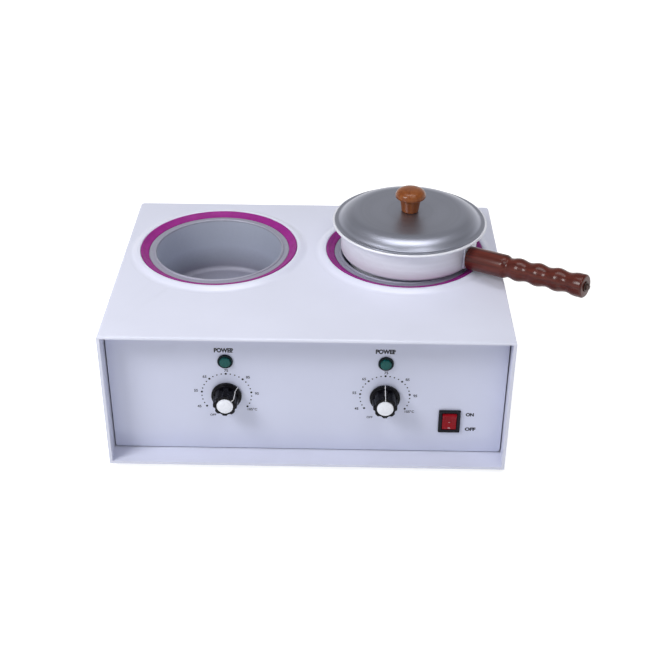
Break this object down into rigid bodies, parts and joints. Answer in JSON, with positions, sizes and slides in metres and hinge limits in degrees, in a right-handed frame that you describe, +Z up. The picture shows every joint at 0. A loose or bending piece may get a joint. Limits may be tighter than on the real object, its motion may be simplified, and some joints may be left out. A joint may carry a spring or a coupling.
{
  "type": "double wax warmer",
  "caption": "Sheet-metal wax warmer with heating wells in its top, a lidded pan with a turned wooden handle, temperature dials, pilot lamps and a rocker switch.",
  "frame": {"origin": "middle of the object's outline, in the plane that its feet stand on", "axes": "+X to the right as one faces the dials, +Y from the front to the back, +Z up"},
  "size_m": [0.4764, 0.2952, 0.233],
  "materials": {
    "white_paint": "semi-gloss powder coat",
    "panel_paint": "semi-gloss powder coat, greyer than the case",
    "zinc_plate": "zinc plated",
    "steel": "plain",
    "aluminium": "spun and lightly polished",
    "magenta_silicone": "matt silicone",
    "black_rubber": "matt",
    "black_plastic": "moulded, satin",
    "white_cap": "satin",
    "green_lens": "clear tinted",
    "red_rocker": "translucent, glossy",
    "heater_band_steel": "dull",
    "copper": "drawn copper",
    "pale_ceramic": "moulded",
    "wire_sleeve": "braided sleeve",
    "dark_red_wood": "stained and varnished",
    "orange_wood": "varnished"
  },
  "bodies": {
    "case": {"back_left_base_screw": "steel", "back_left_foot": "black_rubber", "back_right_base_screw": "steel", "back_right_foot": "black_rubber", "base_plate": "zinc_plate", "case_shell": "white_paint", "front_left_base_screw": "steel", "front_left_foot": "black_rubber", "front_panel": "panel_paint", "front_right_base_screw": "steel", "front_right_foot": "black_rubber", "left_clamp_screw": "steel", "left_heater_band": "heater_band_steel", "left_heater_wire": "wire_sleeve", "left_heating_well": "aluminium", "left_inlet_screw": "steel", "left_lamp_body": "black_plastic", "left_lamp_lens": "green_lens", "left_lamp_nut": "black_plastic", "left_seal_ring": "magenta_silicone", "left_sensor": "copper", "left_thermostat": "pale_ceramic", "left_thermostat_nut": "steel", "left_well_bridge": "zinc_plate", "left_well_nut": "steel", "mains_inlet": "black_plastic", "mains_wire": "wire_sleeve", "right_clamp_screw": "steel", "right_heater_band": "heater_band_steel", "right_heater_wire": "wire_sleeve", "right_heating_well": "aluminium", "right_inlet_screw": "steel", "right_lamp_body": "black_plastic", "right_lamp_lens": "green_lens", "right_lamp_nut": "black_plastic", "right_seal_ring": "magenta_silicone", "right_sensor": "copper", "right_thermostat": "pale_ceramic", "right_thermostat_nut": "steel", "right_well_bridge": "zinc_plate", "right_well_nut": "steel", "switch_housing": "black_plastic", "terminal_block": "pale_ceramic"},
    "left_dial": {"left_dial_shaft": "steel", "left_dial_knob": "black_plastic", "left_knob_cap": "white_cap"},
    "right_dial": {"right_dial_shaft": "steel", "right_dial_knob": "black_plastic", "right_knob_cap": "white_cap"},
    "rocker": {"switch_rocker": "red_rocker"},
    "pan": {"pan_body": "aluminium", "handle_bracket": "steel", "lower_rivet": "aluminium", "upper_rivet": "aluminium", "handle_bolt": "steel", "pan_handle": "dark_red_wood", "handle_end_nut": "steel"},
    "lid": {"lid_shell": "aluminium", "lid_knob": "orange_wood", "lid_screw": "steel"}
  },
  "joints": [
    {"name": "left_dial_turn", "type": "hinge", "parent": "case", "child": "left_dial", "pos_m": [-0.1188, -0.1231, 0.0778], "axis": [0, 1, 0], "range_deg": [-198, 77]},
    {"name": "right_dial_turn", "type": "hinge", "parent": "case", "child": "right_dial", "pos_m": [0.0394, -0.1231, 0.0778], "axis": [0, 1, 0], "range_deg": [-150, 125]},
    {"name": "rocker_press", "type": "hinge", "parent": "case", "child": "rocker", "pos_m": [0.1053, -0.1234, 0.0496], "axis": [-1, 0, 0], "range_deg": [0, 14]},
    {"name": "pan_lift", "type": "slide", "parent": "case", "child": "pan", "axis": [0, 0, 1], "range_m": [0, 0.11]},
    {"name": "lid_lift", "type": "slide", "parent": "pan", "child": "lid", "axis": [0, 0, 1], "range_m": [0, 0.07]}
  ]
}
